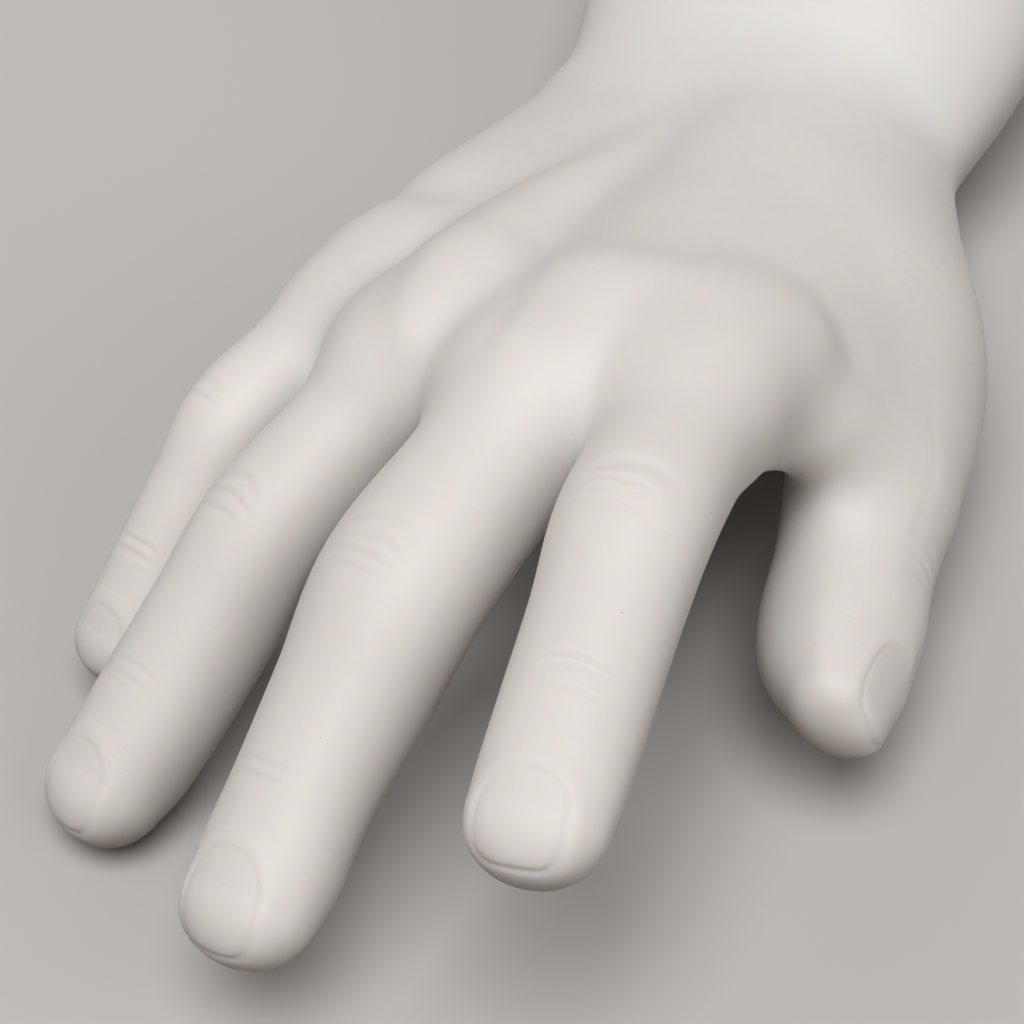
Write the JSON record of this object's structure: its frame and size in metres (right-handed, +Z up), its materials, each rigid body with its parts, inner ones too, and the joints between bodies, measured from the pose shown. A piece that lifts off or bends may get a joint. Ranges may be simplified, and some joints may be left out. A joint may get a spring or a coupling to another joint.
{
  "type": "mannequin hand",
  "caption": "Right mannequin hand lying palm down, relaxed fingers spread a little, with a stub of forearm closed by a wooden block that carries a steel arm fitting",
  "frame": {"origin": "On the surface the hand lies on, under the middle of the whole object", "axes": "+X to the thumb side, +Y from the fingertips to the cut end of the forearm, +Z up, with the back of the hand facing up"},
  "size_m": [0.114, 0.2746, 0.0757],
  "materials": {
    "vinyl": "matte moulded vinyl, warm white",
    "wood": "sawn softwood, unfinished",
    "steel_plate": "brushed",
    "turned_steel": "turned",
    "spring_steel": "dark, oiled",
    "zinc_steel": "zinc plated"
  },
  "bodies": {
    "root": {"hand_shell": "vinyl", "wrist_block": "wood", "fitting_plate": "steel_plate", "bayonet_stud": "turned_steel", "index_pin": "turned_steel", "stud_washer": "zinc_steel", "spring_washer": "spring_steel", "stud_nut": "zinc_steel", "plate_screw_1": "zinc_steel", "plate_screw_2": "zinc_steel", "plate_screw_3": "zinc_steel"}
  },
  "joints": []
}
